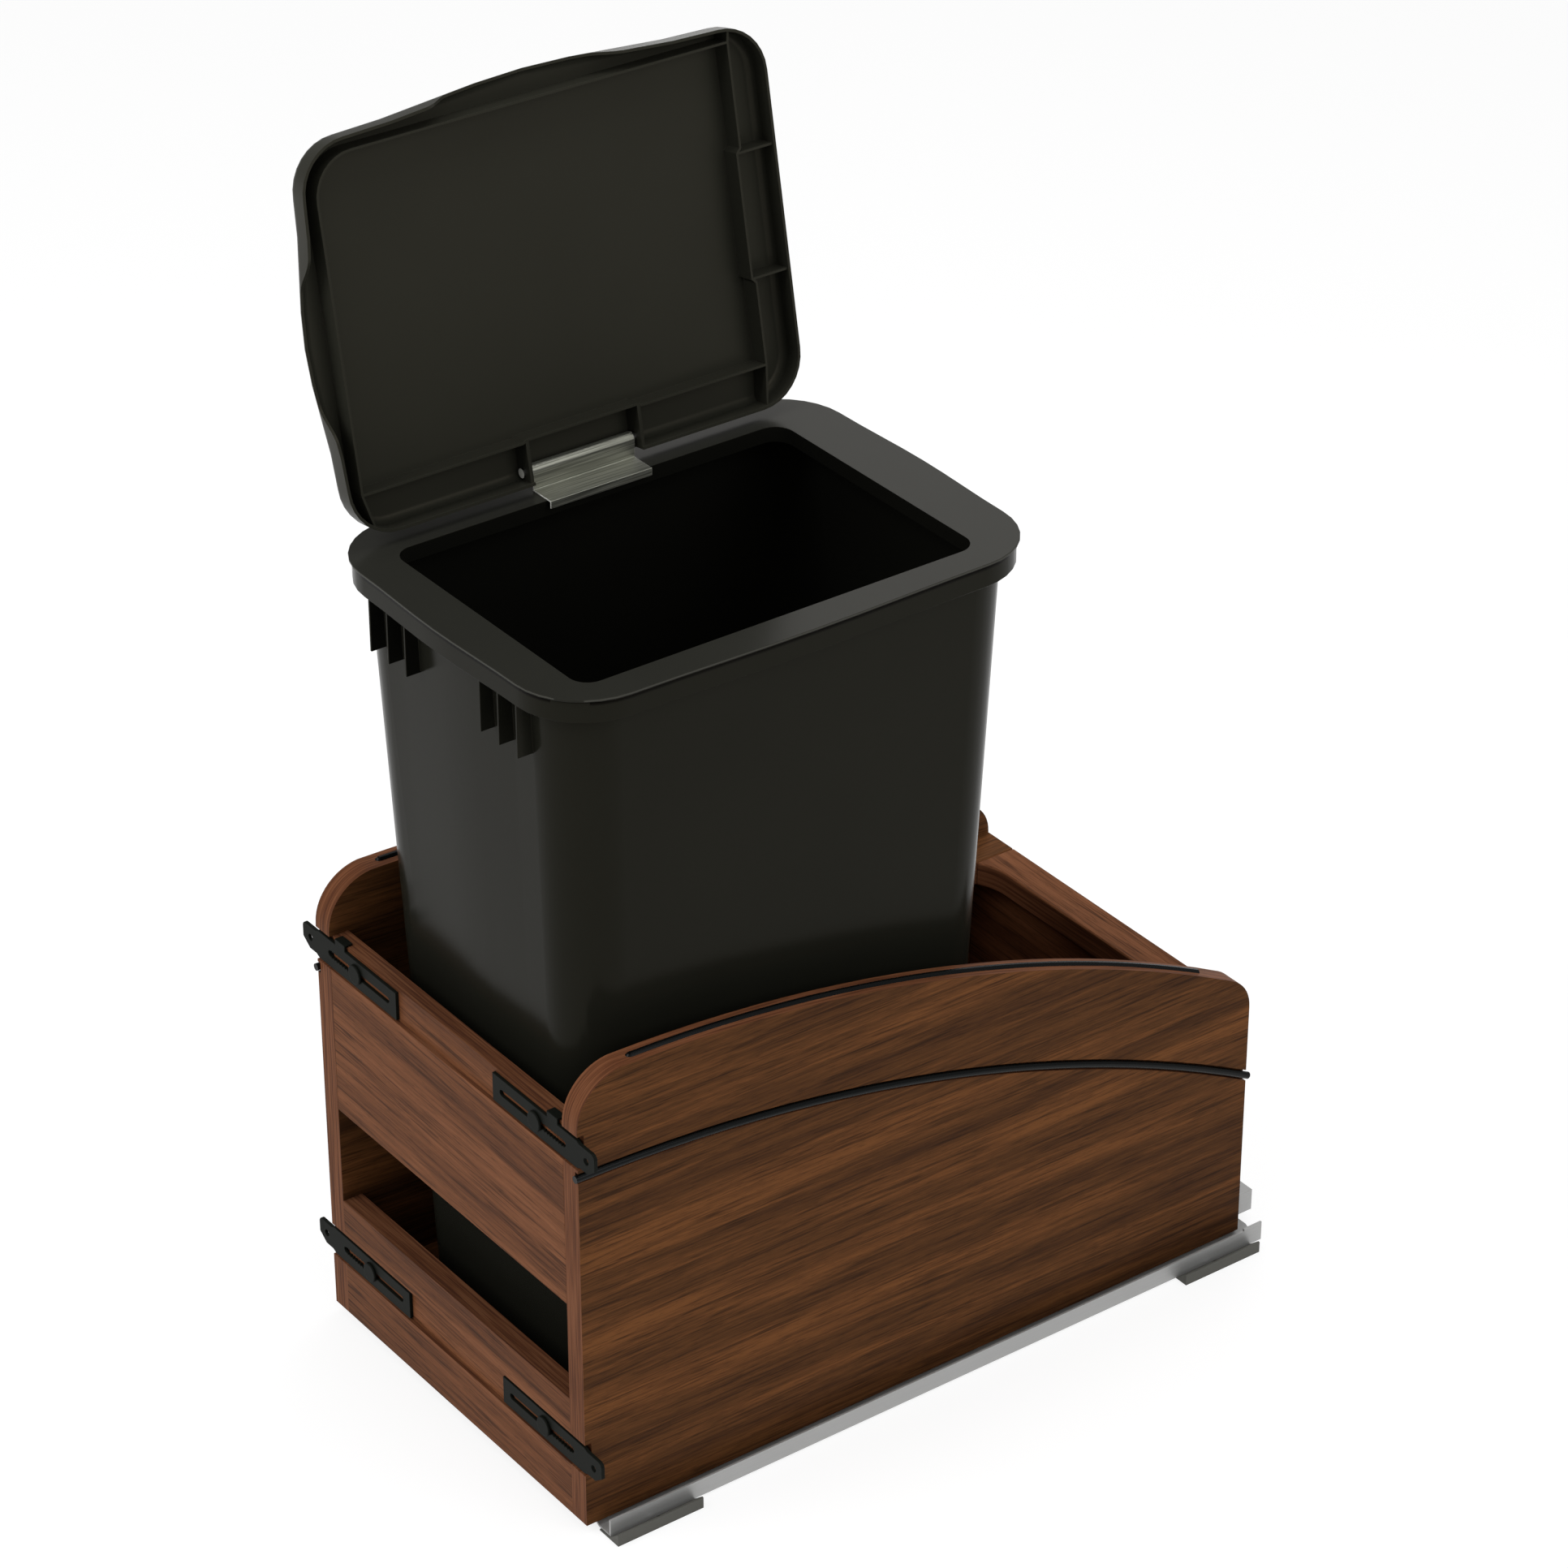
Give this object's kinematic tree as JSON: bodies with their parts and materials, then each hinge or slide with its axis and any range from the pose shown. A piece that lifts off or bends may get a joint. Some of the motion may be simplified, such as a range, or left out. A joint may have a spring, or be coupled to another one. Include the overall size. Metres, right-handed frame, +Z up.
{
  "type": "pull out trash cabinet insert",
  "caption": "Pull out walnut frame on full extension floor slides with a tall lidded waste bin and adjustable brackets for the cabinet door.",
  "frame": {"origin": "centre of the four floor screw holes, on the cabinet floor", "axes": "+X to the right seen from the front, +Y to the rear of the cabinet, +Z up"},
  "size_m": [0.35, 0.58, 0.8678],
  "materials": {
    "walnut": "satin clear coat on walnut veneered plywood",
    "front_walnut": "satin clear coat on walnut veneered plywood, grain across",
    "zinc_steel": "zinc plated sheet steel",
    "cage_steel": "bright sheet steel with polished balls",
    "foot_grey": "fine textured grey moulding",
    "bracket_black": "matt black powder coat",
    "rod_black": "glossy black",
    "charcoal_plastic": "fine textured moulded polypropylene, low gloss",
    "hinge_steel": "brushed stainless steel"
  },
  "bodies": {
    "cabinet": {"cabinet_rail_right": "zinc_steel", "cabinet_rail_left": "zinc_steel", "foot_front_right": "foot_grey", "foot_front_left": "foot_grey", "foot_rear_right": "foot_grey", "foot_rear_left": "foot_grey", "foot_rivets": "zinc_steel"},
    "frame": {"drawer_member_right": "zinc_steel", "drawer_member_left": "zinc_steel", "rear_hook_right": "zinc_steel", "rear_hook_left": "zinc_steel", "side_panel_right": "walnut", "side_panel_left": "walnut", "upper_front_panel": "front_walnut", "lower_front_panel": "front_walnut", "rear_panel": "walnut", "floor_board": "walnut", "rear_rail": "front_walnut", "corner_block_right": "walnut", "corner_block_left": "walnut", "edge_rail_right": "rod_black", "edge_rail_left": "rod_black", "side_rod_right": "rod_black", "side_rod_left": "rod_black", "bracket_screws": "bracket_black", "member_screws": "zinc_steel"},
    "bin": {"bin": "charcoal_plastic", "bin_collar": "charcoal_plastic", "hinge_clip": "hinge_steel"},
    "lid": {"lid": "charcoal_plastic", "hinge_pin": "hinge_steel"},
    "intermediate_right": {"intermediate_member_right": "zinc_steel"},
    "lower_cage_right": {"lower_ball_cage_right": "cage_steel"},
    "upper_cage_right": {"upper_ball_cage_right": "cage_steel"},
    "intermediate_left": {"intermediate_member_left": "zinc_steel"},
    "lower_cage_left": {"lower_ball_cage_left": "cage_steel"},
    "upper_cage_left": {"upper_ball_cage_left": "cage_steel"},
    "bracket_upper_right": {"door_bracket_upper_right": "bracket_black"},
    "bracket_upper_left": {"door_bracket_upper_left": "bracket_black"},
    "bracket_lower_right": {"door_bracket_lower_right": "bracket_black"},
    "bracket_lower_left": {"door_bracket_lower_left": "bracket_black"}
  },
  "joints": [
    {"name": "frame_slide", "type": "slide", "parent": "cabinet", "child": "frame", "axis": [0, -1, 0], "range_m": [0, 0.5]},
    {"name": "intermediate_right_slide", "type": "slide", "parent": "cabinet", "child": "intermediate_right", "axis": [0, -1, 0], "range_m": [0, 0.25]},
    {"name": "lower_cage_right_slide", "type": "slide", "parent": "cabinet", "child": "lower_cage_right", "axis": [0, -1, 0], "range_m": [0, 0.125]},
    {"name": "upper_cage_right_slide", "type": "slide", "parent": "cabinet", "child": "upper_cage_right", "axis": [0, -1, 0], "range_m": [0, 0.375]},
    {"name": "intermediate_left_slide", "type": "slide", "parent": "cabinet", "child": "intermediate_left", "axis": [0, -1, 0], "range_m": [0, 0.25]},
    {"name": "lower_cage_left_slide", "type": "slide", "parent": "cabinet", "child": "lower_cage_left", "axis": [0, -1, 0], "range_m": [0, 0.125]},
    {"name": "upper_cage_left_slide", "type": "slide", "parent": "cabinet", "child": "upper_cage_left", "axis": [0, -1, 0], "range_m": [0, 0.375]},
    {"name": "bin_lift", "type": "slide", "parent": "frame", "child": "bin", "axis": [0, 0, 1], "range_m": [0, 0.32]},
    {"name": "lid_hinge", "type": "hinge", "parent": "bin", "child": "lid", "pos_m": [-0.1177, -0.0851, 0.6167], "axis": [0, 1, 0], "range_deg": [0, 101]},
    {"name": "bracket_upper_right_slide", "type": "slide", "parent": "frame", "child": "bracket_upper_right", "axis": [-1, 0, 0], "range_m": [-0.004, 0.02]},
    {"name": "bracket_upper_left_slide", "type": "slide", "parent": "frame", "child": "bracket_upper_left", "axis": [1, 0, 0], "range_m": [-0.004, 0.02]},
    {"name": "bracket_lower_right_slide", "type": "slide", "parent": "frame", "child": "bracket_lower_right", "axis": [-1, 0, 0], "range_m": [-0.004, 0.02]},
    {"name": "bracket_lower_left_slide", "type": "slide", "parent": "frame", "child": "bracket_lower_left", "axis": [1, 0, 0], "range_m": [-0.004, 0.02]}
  ],
  "couplings": [
    {"joint": "intermediate_right_slide", "follows": "frame_slide", "ratio": 0.5},
    {"joint": "lower_cage_right_slide", "follows": "frame_slide", "ratio": 0.25},
    {"joint": "upper_cage_right_slide", "follows": "frame_slide", "ratio": 0.75},
    {"joint": "intermediate_left_slide", "follows": "frame_slide", "ratio": 0.5},
    {"joint": "lower_cage_left_slide", "follows": "frame_slide", "ratio": 0.25},
    {"joint": "upper_cage_left_slide", "follows": "frame_slide", "ratio": 0.75}
  ]
}
